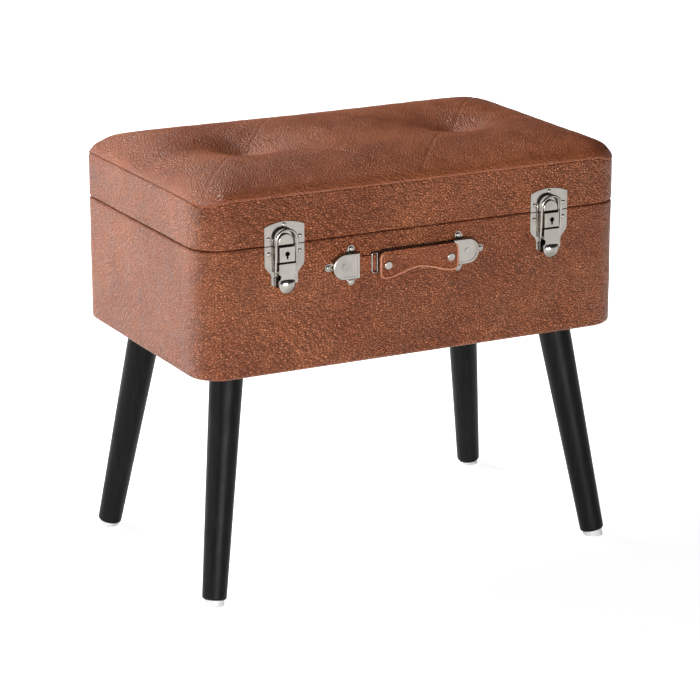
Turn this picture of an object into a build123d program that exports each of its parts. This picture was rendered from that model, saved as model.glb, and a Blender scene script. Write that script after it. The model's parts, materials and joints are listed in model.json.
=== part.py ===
from build123d import *
import os
from math import asin, degrees, sqrt

# Storage ottoman in the style of a suitcase.
# Millimetres. X runs to the right along the front, Y to the back, Z up. The feet stand on Z = 0.

# Box
WIDTH = 500
DEPTH = 310
CORNER_RADIUS = 34
BASE_BOTTOM = 245
SEAM_HEIGHT = 381
SEAM_GAP = 1.0
TOP_SEAM = 431
SEAM_ROLL = 2.5
BOTTOM_ROLL = 4.4

# Layers of the walls
LEATHER = 1.5
WADDING = 3
BOARD = 12
BOTTOM_BOARD = 9
LINING = 1
HEM = 26

# Cushion on the lid: how far each level is drawn in, and its height above the top seam
CROWN_LEVELS = [(0, 0), (3, 5), (10, 10), (24, 15), (50, 19.5), (85, 22.5)]
TUFT_X = WIDTH / 4
TUFT_RADIUS = 62
TUFT_DEPTH = 20.5
TUFT_LIP = 0.6
TUFT_FLOOR = 6
SEWING_GAP = 0.6
TIE_RADIUS = 1
WASHER_RADIUS = 9
WASHER = 2

# Legs
FOOT_INSET_X = 18
FOOT_INSET_Y = 16
LEG_TOP_INSET = 54
FOOT_X = WIDTH / 2 - FOOT_INSET_X
FOOT_Y = DEPTH / 2 - FOOT_INSET_Y
LEG_TOP_X = WIDTH / 2 - LEG_TOP_INSET
LEG_TOP_Y = DEPTH / 2 - LEG_TOP_INSET
LEG_TOP_RADIUS = 18
LEG_FOOT_RADIUS = 13
LEG_FOOT_ROLL = 3
LEG_FOOT_RISE = 5.5
GLIDE_RADIUS = 10.5
LEG_PLATE = 60
LEG_PLATE_THICKNESS = 2.5
LEG_PLATE_CORNER = 6
LEG_SCREW_SPACING = 44
LEG_NUT_RADIUS = 7
LEG_NUT_HEIGHT = 8.5
LEG_BOLT_RADIUS = 4
LEG_BOLT_DEPTH = 38

# Fasteners and fits
FIT = 0.05
CLEARANCE = 0.3
RIVET_HEAD_RADIUS = 2.3
RIVET_HEAD = 1.3
RIVET_RADIUS = 1.2
SCREW_HEAD_RADIUS = 2.8
SCREW_HEAD = 1.7
SCREW_RADIUS = 1.4
SCREW_BITE = 8

# Latches: u to the right, v up from the seam, w out of the front face
LATCH_INSET = 94
LATCH_X = WIDTH / 2 - LATCH_INSET
LATCH_SHEET = 1.0
LATCH_HALF_WIDTH = 22.5
LATCH_SHOULDER = 19.8
LATCH_TOP = 24.5
LATCH_WAIST_TOP = -18
LATCH_WAIST_LOW = -33
LATCH_FOOT = -40
LATCH_BOTTOM = -45.5
LATCH_FOOT_HALF_WIDTH = 15
PAN_HALF_WIDTH = 14.2
PAN_FOOT_HALF_WIDTH = 10.5
PAN_RISE = 1.4
PAN_ARCH_CENTRE = 4
PAN_FOOT = -41.5
BASE_RIVET_U = 17.6
BASE_RIVET_V = -8
FOOT_RIVET_V = -36
STRIKE_RIVET_U = 17.6
STRIKE_RIVET_V = 7.5
STRIKE_TOP_RIVET_V = 21.2
CATCH_HALF_WIDTH = 8.6
CATCH_ARCH_CENTRE = 4
CATCH_HEIGHT = 5.0
LOCK_HALF_WIDTH = 8.6
LOCK_BOTTOM = -16.4
LOCK_HEIGHT = 8.0
LOCK_WALL = 0.9
KEYHOLE_V = -8
KEYHOLE_RADIUS = 2.6
KEYHOLE_SLOT = 2.0
KEYHOLE_SLOT_V = -13.4

# Latch lever and loop
LEVER_PIVOT_V = -21.3
LEVER_PIVOT_W = 4.6
LEVER_PIN_RADIUS = 1.2
LEVER_EYE_RADIUS = 1.9
LUG_EYE_RADIUS = 1.8
LUG_INSIDE = 6.6
LUG_THICKNESS = 1.2
LEVER_TOP = -18.4
LEVER_WINDOW_LOW = -19.8
LEVER_WINDOW_HIGH = -17.1
LEVER_PLAY = 0.4
LEVER_SHEET = 1.0
LEVER_FACE = 8.0
LEVER_HALF_WIDTH = 9.3
LEVER_WAIST_HALF_WIDTH = 7.2
LEVER_WAIST_V = -31
LEVER_EAR = -29
TAB_HALF_WIDTH = 9.4
TAB_TOP = -35.5
TAB_CENTRE = -40
TAB_HEIGHT = 11.5
TAB_DOME_RADIUS = 13
LOOP_PIVOT_V = -26.5
LOOP_PIVOT_W = 4.4
LOOP_WIRE_RADIUS = 1.3
LOOP_END_RADIUS = 1.0
LOOP_HALF_WIDTH = 11.6
LOOP_ARCH_CENTRE = 5.6
LOOP_TOP_W = 6.9

# Handle: u to the right and v up from the middle of the caps, w out of the front face
HANDLE_X = -17
HANDLE_DROP = 30.5
HANDLE_Z = SEAM_HEIGHT - HANDLE_DROP
CAP_MOUTH = 55
CAP_STRAIGHT = 17
CAP_RADIUS = 13.8
CAP_HEIGHT = 6.6
CAP_WALL = 0.8
CAP_ROUND = 1.2
CAP_RIM = 3
CAP_RECESS = 0.5
CAP_DIMPLE_RADIUS = 3.6
CAP_MOUTH_HALF = 11.6
EAR_RADIUS = 4
EAR_THICKNESS = 1.0
EAR_SETBACK = 8
EAR_REACH = 3.4
STRAP_SHIFT = 12.3
STRAP_HALF_LENGTH = 46.5
STRAP_TOP = 12
STRAP_END_DROP = 17
STRAP_MIDDLE_DROP = 9
STRAP_CORNER = 7
STRAP_BACK = 7.0
STRAP_THICKNESS = 4.2
STRAP_EDGE = 2.2
STRAP_PIPING = 0.5
STRAP_FOLD = 6.6
STRAP_FOLD_CENTRE = 37.5
STRAP_RIVET_U = 37
STRAP_RIVET_V = -2.6
STRAP_RIVET_HEAD_RADIUS = 4.5
HOOP_RADIUS = 0.9
HOOP_W = 2.6
HOOP_HALF_HEIGHT = 10.3
HOOP_CORNER = 2.0
HOOP_MIDDLE = 45.6
HOOP_OUTER = 51.8
TAB_FOLD_INNER = 47.6
TAB_FOLD_OUTER = 56
TAB_FOLD_THICKNESS = 4.4
TAB_HALF_HEIGHT = 8.2
TONGUE_THICKNESS = 1.4
TONGUE_END = 70.7
TONGUE_CORNER = 5

# Hinges: u along the back, v up from the seam, w out of the back face
HINGE_INSET = 100
HINGE_X = WIDTH / 2 - HINGE_INSET
HINGE_LENGTH = 40
HINGE_LEAF = 30
HINGE_SHEET = 1.5
HINGE_KNUCKLES = 5
HINGE_BARREL_RADIUS = 3
HINGE_PIN_RADIUS = 1.5
HINGE_STANDOFF = 0.4
HINGE_SCREW_PLACES = [(-14, 12), (14, 12), (0, 23)]

# Levels and insets that follow from the sizes above
base_top = SEAM_HEIGHT - SEAM_GAP / 2
lid_bottom = SEAM_HEIGHT + SEAM_GAP / 2
frame_inset = LEATHER + WADDING
inside_inset = frame_inset + BOARD
frame_low = BASE_BOTTOM + LEATHER
frame_high = base_top - LEATHER
floor_level = frame_low + BOTTOM_BOARD
rail_low = lid_bottom + LEATHER
lid_ceiling = TOP_SEAM - BOARD
straight_x = WIDTH / 2 - CORNER_RADIUS
straight_y = DEPTH / 2 - CORNER_RADIUS
sides = {"left": -1, "right": 1}
corners = [(sx, sy) for sy in (-1, 1) for sx in (-1, 1)]


def front_place(x, z):
    return Plane((x, -DEPTH / 2, z), x_dir=(1, 0, 0), z_dir=(0, -1, 0)).location


def back_place(x, z):
    return Plane((x, DEPTH / 2, z), x_dir=(-1, 0, 0), z_dir=(0, 1, 0)).location


def span_box(low, high):
    size = [b - a for a, b in zip(low, high)]
    middle = [(a + b) / 2 for a, b in zip(low, high)]
    return Pos(*middle) * Box(*size)


def rod_u(radius, start, end, v, w):
    return Pos((start + end) / 2, v, w) * Rot(0, 90, 0) * Cylinder(radius, end - start)


def rod_v(radius, u, start, end, w):
    return Pos(u, (start + end) / 2, w) * Rot(90, 0, 0) * Cylinder(radius, end - start)


def rod_w(radius, u, v, start, end):
    return Pos(u, v, (start + end) / 2) * Cylinder(radius, end - start)


def slab(sketch, low, high):
    return Pos(0, 0, low) * extrude(sketch, high - low)


def mirrored_outline(half):
    # A face from the right half of an outline, drawn from its top to its bottom
    right = Curve() + half
    left = mirror(right, Plane.YZ)
    return make_face((right + left).edges())


def box_block(inset, low, high):
    outline = RectangleRounded(WIDTH - 2 * inset, DEPTH - 2 * inset, CORNER_RADIUS - inset)
    return slab(outline, low, high)


def rolled_block(inset, low, high, low_roll, high_roll):
    block = box_block(inset, low, high)
    if low_roll:
        block = fillet(block.faces().sort_by(Axis.Z)[0].edges(), low_roll)
    if high_roll:
        block = fillet(block.faces().sort_by(Axis.Z)[-1].edges(), high_roll)
    return block


def fastener(head_radius, head_height, radius, bite):
    # Domed head from w = 0 outwards, shank from w = 0 inwards
    head = rod_w(head_radius, 0, 0, 0, head_height)
    head = fillet(head.edges().sort_by(Axis.Z)[-1], head_height * 0.7)
    return head + rod_w(radius, 0, 0, -bite, head_height / 2)


def fastener_hole(radius, bite):
    return rod_w(radius + FIT, 0, 0, -bite - FIT, 1)


def export(name, solids):
    shapes = solids if isinstance(solids, list) else [solids]
    pieces = [piece for shape in shapes for piece in shape.solids()]
    export_step(pieces[0] if len(pieces) == 1 else Compound(pieces), f"parts/{name}.step")


# Frames of boards and rounded corner posts
def frame_boards(low, high):
    y = DEPTH / 2 - frame_inset
    x = WIDTH / 2 - frame_inset
    return {
        "front": span_box((-straight_x, -y, low), (straight_x, BOARD - y, high)),
        "back": span_box((-straight_x, y - BOARD, low), (straight_x, y, high)),
        "left": span_box((-x, -straight_y, low), (BOARD - x, straight_y, high)),
        "right": span_box((x - BOARD, -straight_y, low), (x, straight_y, high)),
    }


def corner_posts(low, high):
    ring = box_block(frame_inset, low, high) - box_block(inside_inset, low, high)
    posts = []
    for sx, sy in corners:
        middle = Pos(sx * (WIDTH - CORNER_RADIUS) / 2, sy * (DEPTH - CORNER_RADIUS) / 2, (low + high) / 2)
        posts.append(ring & (middle * Box(CORNER_RADIUS, CORNER_RADIUS, high - low)))
    return posts


# Base: leather turned in over the top edge and hemmed under the bottom
def base_cover():
    outer = rolled_block(0, BASE_BOTTOM, base_top, BOTTOM_ROLL, SEAM_ROLL)
    mouth = box_block(inside_inset, frame_high - LEATHER, base_top + LEATHER)
    under = box_block(HEM, BASE_BOTTOM - LEATHER, frame_low + LEATHER)
    return outer - base_filling() - mouth - under


def base_filling():
    return rolled_block(LEATHER, frame_low, frame_high, BOTTOM_ROLL - LEATHER, SEAM_ROLL - LEATHER)


def base_wadding():
    return base_filling() - box_block(frame_inset, frame_low, frame_high)


def base_lining():
    hollow = box_block(inside_inset + LINING, floor_level + LINING, frame_high + LINING)
    return box_block(inside_inset, floor_level, frame_high) - hollow


# Lid: leather border, and a crowned and tufted cushion under sewn panels
def lid_border_cover():
    outer = rolled_block(0, lid_bottom, TOP_SEAM, SEAM_ROLL, 0)
    mouth = box_block(inside_inset, lid_bottom - LEATHER, rail_low + LEATHER)
    return outer - lid_filling() - mouth


def lid_filling():
    return rolled_block(LEATHER, rail_low, TOP_SEAM, SEAM_ROLL - LEATHER, 0)


def lid_wadding():
    return lid_filling() - box_block(frame_inset, rail_low, TOP_SEAM)


def lid_lining():
    hollow = box_block(inside_inset + LINING, rail_low - LINING, lid_ceiling - LINING)
    return box_block(inside_inset, rail_low, lid_ceiling) - hollow


crown_height = CROWN_LEVELS[-1][1]
tuft_bottom = TOP_SEAM + crown_height + TUFT_LIP - TUFT_DEPTH
tuft_bend = ((TUFT_RADIUS - TUFT_FLOOR) ** 2 + TUFT_DEPTH**2) / (2 * TUFT_DEPTH)


def tuft_hollow(depth):
    # A dent whose flank is one arc, level at its rim, for the surface that lies depth under the leather
    centre_z = TOP_SEAM + crown_height + TUFT_LIP - tuft_bend
    bend = tuft_bend - depth
    floor = tuft_bottom - depth
    floor_radius = TUFT_RADIUS - sqrt(bend**2 - (floor - centre_z) ** 2)
    lift = centre_z + bend
    middle_z = (floor + lift) / 2
    middle_x = TUFT_RADIUS - sqrt(bend**2 - (middle_z - centre_z) ** 2)
    flank = ThreePointArc((floor_radius, 0, floor), (middle_x, 0, middle_z), (TUFT_RADIUS, 0, lift))
    top = lift + TUFT_DEPTH
    rest = Polyline(
        (TUFT_RADIUS, 0, lift), (TUFT_RADIUS, 0, top), (0, 0, top), (0, 0, floor), (floor_radius, 0, floor)
    )
    return revolve(make_face((Curve() + [flank, rest]).edges()), Axis.Z)


def cushion(depth):
    # The body of the cushion, for the surface that lies depth under the leather
    levels = []
    for inset, height in CROWN_LEVELS:
        outline = RectangleRounded(
            WIDTH - 2 * (inset + depth), DEPTH - 2 * (inset + depth), CORNER_RADIUS - depth
        )
        levels.append(Pos(0, 0, TOP_SEAM + height - depth) * outline)
    body = loft(levels)
    if depth:
        body -= box_block(0, TOP_SEAM - 2 * depth, TOP_SEAM)
    for side in sides.values():
        body -= Pos(side * TUFT_X, 0, 0) * tuft_hollow(depth)
    return body


def sewing_cuts():
    # Seams that cross in each tuft, to the corners of its half of the top
    cuts = []
    tall = crown_height + 2 * LEATHER
    for side in sides.values():
        for end_x in (0, side * WIDTH / 2):
            for end_y in (-DEPTH / 2, DEPTH / 2):
                run = Vector(end_x - side * TUFT_X, end_y, 0)
                cut = Pos(run.length / 2, 0, tall / 2) * Box(run.length, SEWING_GAP, tall)
                start = Plane((side * TUFT_X, 0, TOP_SEAM - LEATHER), x_dir=run.normalized(), z_dir=(0, 0, 1))
                cuts.append(start.location * cut)
    return cuts


def lid_top_panels():
    skin = cushion(0) - cushion(LEATHER)
    for cut in sewing_cuts():
        skin -= cut
    return skin


def tuft_places():
    return [Pos(side * TUFT_X, 0, 0) for side in sides.values()]


def tuft_tie():
    return rod_w(TIE_RADIUS, 0, 0, lid_ceiling, tuft_bottom - LEATHER)


def tuft_washer():
    return rod_w(WASHER_RADIUS, 0, 0, lid_ceiling, lid_ceiling + WASHER) - tie_hole()


def tie_hole():
    return rod_w(TIE_RADIUS + FIT, 0, 0, lid_ceiling - LINING / 2, tuft_bottom)


# Legs
leg_seat = BASE_BOTTOM - LEG_PLATE_THICKNESS


def leg_place(sx, sy):
    # On the floor under the foot, with local Z up along the leg
    foot = Vector(sx * FOOT_X, sy * FOOT_Y, 0)
    top = Vector(sx * LEG_TOP_X, sy * LEG_TOP_Y, BASE_BOTTOM)
    return Plane(foot, x_dir=(sy, -sx, 0), z_dir=top - foot).location


leg_length = sqrt((FOOT_X - LEG_TOP_X) ** 2 + (FOOT_Y - LEG_TOP_Y) ** 2 + BASE_BOTTOM**2)
leg_taper = (LEG_TOP_RADIUS - LEG_FOOT_RADIUS) / leg_length


def along_leg(height):
    return height * leg_length / BASE_BOTTOM


def leg(sx, sy):
    end = leg_length + LEG_TOP_RADIUS
    stick = Cone(LEG_FOOT_RADIUS, LEG_FOOT_RADIUS + leg_taper * (end - LEG_FOOT_RISE), end - LEG_FOOT_RISE)
    stick = fillet(stick.edges().sort_by(Axis.Z)[0], LEG_FOOT_ROLL)
    stick = leg_place(sx, sy) * Pos(0, 0, (end + LEG_FOOT_RISE) / 2) * stick
    above = span_box((-WIDTH, -DEPTH, leg_seat), (WIDTH, DEPTH, BASE_BOTTOM + LEG_TOP_RADIUS * 3))
    return stick - above - leg_bolt_hole(sx, sy)


def leg_bolt(sx, sy, radius=LEG_BOLT_RADIUS, extra=0):
    low = along_leg(leg_seat - LEG_BOLT_DEPTH) - extra
    high = along_leg(BASE_BOTTOM + LEG_NUT_HEIGHT) + extra
    return leg_place(sx, sy) * rod_w(radius, 0, 0, low, high)


def leg_bolt_hole(sx, sy):
    return leg_bolt(sx, sy, LEG_BOLT_RADIUS + FIT, FIT)


def leg_nut(sx, sy, radius, extra):
    low = along_leg(leg_seat)
    high = along_leg(BASE_BOTTOM + LEG_NUT_HEIGHT - extra)
    return leg_place(sx, sy) * rod_w(radius, 0, 0, low - radius, high + 2 * extra)


def leg_glide(sx, sy):
    pad = rod_w(GLIDE_RADIUS, 0, 0, -LEG_FOOT_RISE, LEG_FOOT_RISE)
    below = span_box((-WIDTH, -DEPTH, -LEG_FOOT_RISE * 3), (WIDTH, DEPTH, 0))
    return leg_place(sx, sy) * pad - below


def plate_place(sx, sy):
    lean = leg_seat / BASE_BOTTOM
    x = FOOT_X + (LEG_TOP_X - FOOT_X) * lean
    y = FOOT_Y + (LEG_TOP_Y - FOOT_Y) * lean
    return Pos(sx * x, sy * y, leg_seat)


def leg_screw_places(sx, sy):
    spots = GridLocations(LEG_SCREW_SPACING, LEG_SCREW_SPACING, 2, 2)
    return [plate_place(sx, sy) * spot * Rot(180, 0, 0) for spot in spots]


leg_screw_bite = LEG_PLATE_THICKNESS + LEATHER + BOTTOM_BOARD / 2


def leg_plate(sx, sy):
    outline = RectangleRounded(LEG_PLATE, LEG_PLATE, LEG_PLATE_CORNER)
    plate = plate_place(sx, sy) * slab(outline, 0, LEG_PLATE_THICKNESS)
    under = span_box((-WIDTH, -DEPTH, 0), (WIDTH, DEPTH, leg_seat))
    plate = plate + (leg_nut(sx, sy, LEG_NUT_RADIUS, 0) - under) - leg_bolt_hole(sx, sy)
    for place in leg_screw_places(sx, sy):
        plate -= place * fastener_hole(SCREW_RADIUS, leg_screw_bite)
    return plate


def leg_holes():
    # What the leg plates take out of the bottom board and the dust cover
    holes = []
    for sx, sy in corners:
        holes.append(leg_nut(sx, sy, LEG_NUT_RADIUS + CLEARANCE, CLEARANCE))
        for place in leg_screw_places(sx, sy):
            holes.append(place * fastener_hole(SCREW_RADIUS, leg_screw_bite))
    return holes


# Latches
rivet_bite = LATCH_SHEET + frame_inset + SCREW_BITE
pan_top = LATCH_SHEET + PAN_RISE


def latch_outline_low():
    top = -SEAM_GAP / 2
    half = [
        Line((0, top), (LATCH_HALF_WIDTH, top)),
        Line((LATCH_HALF_WIDTH, top), (LATCH_HALF_WIDTH, LATCH_WAIST_TOP)),
        Spline(
            (LATCH_HALF_WIDTH, LATCH_WAIST_TOP),
            (LATCH_FOOT_HALF_WIDTH, LATCH_WAIST_LOW),
            tangents=[(0, -1), (0, -1)],
        ),
        Line((LATCH_FOOT_HALF_WIDTH, LATCH_WAIST_LOW), (LATCH_FOOT_HALF_WIDTH, LATCH_FOOT)),
        ThreePointArc(
            (LATCH_FOOT_HALF_WIDTH, LATCH_FOOT),
            (LATCH_FOOT_HALF_WIDTH / 2, LATCH_BOTTOM + (LATCH_FOOT - LATCH_BOTTOM) / 4),
            (0, LATCH_BOTTOM),
        ),
    ]
    return mirrored_outline(half)


def pan_outline_low(inset):
    wide = PAN_HALF_WIDTH - inset
    narrow = PAN_FOOT_HALF_WIDTH - inset
    top = -SEAM_GAP / 2 - inset
    half = [
        Line((0, top), (wide, top)),
        Line((wide, top), (wide, LATCH_WAIST_TOP)),
        Line((wide, LATCH_WAIST_TOP), (narrow, LATCH_WAIST_LOW)),
        Line((narrow, LATCH_WAIST_LOW), (narrow, PAN_FOOT + inset)),
        Line((narrow, PAN_FOOT + inset), (0, PAN_FOOT + inset)),
    ]
    return mirrored_outline(half)


def raised_plate(flat, pan, pan_hollow):
    plate = slab(flat, 0, LATCH_SHEET) + slab(pan, 0, pan_top)
    return plate - slab(pan_hollow, 0, PAN_RISE)


def base_rivet_spots():
    return [(-BASE_RIVET_U, BASE_RIVET_V, LATCH_SHEET), (BASE_RIVET_U, BASE_RIVET_V, LATCH_SHEET),
            (0, FOOT_RIVET_V, pan_top)]


def strike_rivet_spots():
    return [(-STRIKE_RIVET_U, STRIKE_RIVET_V, LATCH_SHEET), (STRIKE_RIVET_U, STRIKE_RIVET_V, LATCH_SHEET),
            (0, STRIKE_TOP_RIVET_V, LATCH_SHEET)]


def rivets(spots):
    return [Pos(*spot) * fastener(RIVET_HEAD_RADIUS, RIVET_HEAD, RIVET_RADIUS, rivet_bite) for spot in spots]


def rivet_holes(spots):
    return [Pos(*spot) * fastener_hole(RIVET_RADIUS, rivet_bite) for spot in spots]


def latch_base_plate():
    plate = raised_plate(latch_outline_low(), pan_outline_low(0), pan_outline_low(LATCH_SHEET))
    # A window under the lever, whose upper end dips into it as the lever opens
    window = LEVER_HALF_WIDTH + LEVER_PLAY
    plate -= span_box((-window, LEVER_WINDOW_LOW, -LATCH_SHEET), (window, LEVER_WINDOW_HIGH, LEVER_PIVOT_W))
    for side in sides.values():
        lug_side = side * (LUG_INSIDE + LUG_THICKNESS / 2)
        lug = Pos(lug_side, LEVER_PIVOT_V, (pan_top + LEVER_PIVOT_W) / 2) * Box(
            LUG_THICKNESS, 2 * LUG_EYE_RADIUS, LEVER_PIVOT_W - pan_top
        )
        eye = rod_u(
            LUG_EYE_RADIUS,
            lug_side - LUG_THICKNESS / 2,
            lug_side + LUG_THICKNESS / 2,
            LEVER_PIVOT_V,
            LEVER_PIVOT_W,
        )
        plate += lug + eye
    plate -= rod_u(LEVER_PIN_RADIUS, -LEVER_HALF_WIDTH, LEVER_HALF_WIDTH, LEVER_PIVOT_V, LEVER_PIVOT_W)
    for hole in rivet_holes(base_rivet_spots()):
        plate -= hole
    return plate


def latch_lock_case():
    top = -SEAM_GAP / 2
    body = span_box((-LOCK_HALF_WIDTH, LOCK_BOTTOM, pan_top), (LOCK_HALF_WIDTH, top, LOCK_HEIGHT))
    body = fillet(body.faces().sort_by(Axis.Z)[-1].edges(), LOCK_WALL / 2)
    inside = LOCK_HALF_WIDTH - LOCK_WALL
    body -= span_box((-inside, LOCK_BOTTOM + LOCK_WALL, pan_top), (inside, top - LOCK_WALL, LOCK_HEIGHT - LOCK_WALL))
    body -= rod_w(KEYHOLE_RADIUS, 0, KEYHOLE_V, pan_top, LOCK_HEIGHT + 1)
    slot = KEYHOLE_SLOT / 2
    return body - span_box((-slot, KEYHOLE_SLOT_V, pan_top), (slot, KEYHOLE_V, LOCK_HEIGHT + 1))


def lever_pin():
    return rod_u(LEVER_PIN_RADIUS, -LEVER_HALF_WIDTH, LEVER_HALF_WIDTH, LEVER_PIVOT_V, LEVER_PIVOT_W)


def latch_strike():
    low = SEAM_GAP / 2
    rise = LATCH_TOP - LATCH_SHOULDER
    flat = mirrored_outline([
        ThreePointArc(
            (0, LATCH_TOP), (LATCH_HALF_WIDTH / 2, LATCH_TOP - rise / 4), (LATCH_HALF_WIDTH, LATCH_SHOULDER)
        ),
        Line((LATCH_HALF_WIDTH, LATCH_SHOULDER), (LATCH_HALF_WIDTH, low)),
        Line((LATCH_HALF_WIDTH, low), (0, low)),
    ])
    plate = raised_plate(
        flat,
        arch_outline(PAN_HALF_WIDTH, PAN_ARCH_CENTRE, low),
        arch_outline(PAN_HALF_WIDTH - LATCH_SHEET, PAN_ARCH_CENTRE, low + LATCH_SHEET),
    )
    catch = slab(arch_outline(CATCH_HALF_WIDTH, CATCH_ARCH_CENTRE, low), pan_top, CATCH_HEIGHT)
    plate += fillet(catch.faces().sort_by(Axis.Z)[-1].edges(), LATCH_SHEET)
    for hole in rivet_holes(strike_rivet_spots()):
        plate -= hole
    return plate


def arch_outline(half_width, centre, low):
    return mirrored_outline([
        ThreePointArc(
            (0, centre + half_width),
            (half_width * sqrt(0.5), centre + half_width * sqrt(0.5)),
            (half_width, centre),
        ),
        Line((half_width, centre), (half_width, low)),
        Line((half_width, low), (0, low)),
    ])


def latch_lever():
    face_low = LEVER_FACE - LEVER_SHEET
    outline = mirrored_outline([
        Line((0, LEVER_TOP), (LEVER_HALF_WIDTH, LEVER_TOP)),
        Line((LEVER_HALF_WIDTH, LEVER_TOP), (LEVER_HALF_WIDTH, LEVER_EAR)),
        Spline(
            (LEVER_HALF_WIDTH, LEVER_EAR),
            (LEVER_WAIST_HALF_WIDTH, LEVER_WAIST_V),
            (TAB_HALF_WIDTH, TAB_TOP),
        ),
        Line((TAB_HALF_WIDTH, TAB_TOP), (TAB_HALF_WIDTH, TAB_CENTRE)),
        Line((TAB_HALF_WIDTH, TAB_CENTRE), (0, TAB_CENTRE)),
    ])
    lever = slab(outline, face_low, LEVER_FACE) + latch_tab()
    for side in sides.values():
        inner = side * (LEVER_HALF_WIDTH - LUG_THICKNESS)
        outer = side * LEVER_HALF_WIDTH
        low, high = sorted((inner, outer))
        reach = LEVER_PIVOT_W - LEVER_EYE_RADIUS
        cheek = span_box((low, LEVER_EAR, reach), (high, LEVER_PIVOT_V, face_low))
        neck_top = LEVER_PIVOT_V + LEVER_EYE_RADIUS
        neck = span_box((low, LEVER_PIVOT_V, LEVER_PIVOT_W), (high, neck_top, face_low))
        lever += cheek + neck + rod_u(LEVER_EYE_RADIUS, low, high, LEVER_PIVOT_V, LEVER_PIVOT_W)
    wide = LEVER_HALF_WIDTH + 1
    lever -= rod_u(LEVER_PIN_RADIUS + FIT, -wide, wide, LEVER_PIVOT_V, LEVER_PIVOT_W)
    return lever - rod_u(LOOP_END_RADIUS + FIT, -wide, wide, LOOP_PIVOT_V, LOOP_PIVOT_W)


def latch_tab():
    # A hollow domed thumb piece with a straight top edge
    outline = Pos(0, TAB_CENTRE) * Circle(TAB_HALF_WIDTH) + make_face(
        Polyline(
            (-TAB_HALF_WIDTH, TAB_CENTRE),
            (TAB_HALF_WIDTH, TAB_CENTRE),
            (TAB_HALF_WIDTH, TAB_TOP),
            (-TAB_HALF_WIDTH, TAB_TOP),
            close=True,
        )
    )
    above = span_box((-WIDTH, TAB_TOP, 0), (WIDTH, 0, WIDTH))
    centre = Pos(0, TAB_CENTRE, TAB_HEIGHT - TAB_DOME_RADIUS)
    dome = (slab(outline, pan_top, TAB_HEIGHT + 1) - above) & (centre * Sphere(TAB_DOME_RADIUS))
    inside = centre * Sphere(TAB_DOME_RADIUS - LEVER_SHEET)
    inside -= span_box((-WIDTH, TAB_TOP - LEVER_SHEET, -WIDTH), (WIDTH, 0, WIDTH))
    back = LEVER_FACE - 2 * LEVER_SHEET
    return dome - inside - span_box((-WIDTH, -WIDTH, -WIDTH), (WIDTH, 0, back))


def latch_loop():
    # A bent wire, laid flat from its pivot and then leaned out to pass in front of the catch
    reach = LOOP_ARCH_CENTRE - LOOP_PIVOT_V
    ring = Pos(0, reach, 0) * Torus(LOOP_HALF_WIDTH, LOOP_WIRE_RADIUS)
    lower = span_box((-WIDTH, -WIDTH, -LOOP_WIRE_RADIUS * 2), (WIDTH, reach, LOOP_WIRE_RADIUS * 2))
    wire = ring - lower
    end = LEVER_HALF_WIDTH - LUG_THICKNESS
    for side in sides.values():
        wire += rod_v(LOOP_WIRE_RADIUS, side * LOOP_HALF_WIDTH, 0, reach, 0)
        wire += Pos(side * LOOP_HALF_WIDTH, 0, 0) * Sphere(LOOP_WIRE_RADIUS)
        low, high = sorted((side * end, side * LOOP_HALF_WIDTH))
        wire += rod_u(LOOP_END_RADIUS, low, high, 0, 0)
    lean = degrees(asin((LOOP_TOP_W - LOOP_PIVOT_W) / (reach + LOOP_HALF_WIDTH)))
    return Pos(0, LOOP_PIVOT_V, LOOP_PIVOT_W) * Rot(lean, 0, 0) * wire


# Handle
cap_roof = CAP_HEIGHT - CAP_RECESS - CAP_WALL
cap_end = CAP_MOUTH + CAP_STRAIGHT + CAP_RADIUS


def cap_outline(inset):
    radius = CAP_RADIUS - inset
    straight = CAP_MOUTH + CAP_STRAIGHT
    top = Line((CAP_MOUTH + inset, radius), (straight, radius))
    bend = ThreePointArc((straight, radius), (straight + radius, 0), (straight, -radius))
    rest = Polyline(
        (straight, -radius), (CAP_MOUTH + inset, -radius), (CAP_MOUTH + inset, radius)
    )
    return make_face((Curve() + [top, bend, rest]).edges())


def ear_spots():
    across = CAP_RADIUS + EAR_REACH
    return [(cap_end + EAR_REACH, 0), (CAP_MOUTH + EAR_SETBACK, across), (CAP_MOUTH + EAR_SETBACK, -across)]


def cap_screw_places():
    return [Pos(u, v, EAR_THICKNESS) for u, v in ear_spots()]


cap_screw_bite = EAR_THICKNESS + frame_inset + SCREW_BITE


def handle_cap():
    cap = slab(cap_outline(0), 0, CAP_HEIGHT)
    cap = fillet(cap.faces().sort_by(Axis.Z)[-1].edges(), CAP_ROUND)
    cap -= slab(cap_outline(CAP_RIM), CAP_HEIGHT - CAP_RECESS, CAP_HEIGHT)
    cap += rod_w(CAP_DIMPLE_RADIUS, CAP_MOUTH + CAP_STRAIGHT, 0, cap_roof, CAP_HEIGHT)
    for u, v in ear_spots():
        ear = rod_w(EAR_RADIUS, u, v, 0, EAR_THICKNESS)
        toward = Vector(CAP_MOUTH + CAP_STRAIGHT - u, -v, 0).normalized() * EAR_REACH
        ear += rod_w(EAR_RADIUS, u + toward.X, v + toward.Y, 0, EAR_THICKNESS)
        cap += ear
    cap -= slab(cap_outline(CAP_WALL), 0, cap_roof)
    mouth = CAP_MOUTH - CAP_WALL
    cap -= span_box((mouth, -CAP_MOUTH_HALF, 0), (CAP_MOUTH + 2 * CAP_WALL, CAP_MOUTH_HALF, cap_roof))
    for place in cap_screw_places():
        cap -= place * fastener_hole(SCREW_RADIUS, cap_screw_bite)
    return cap


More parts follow.
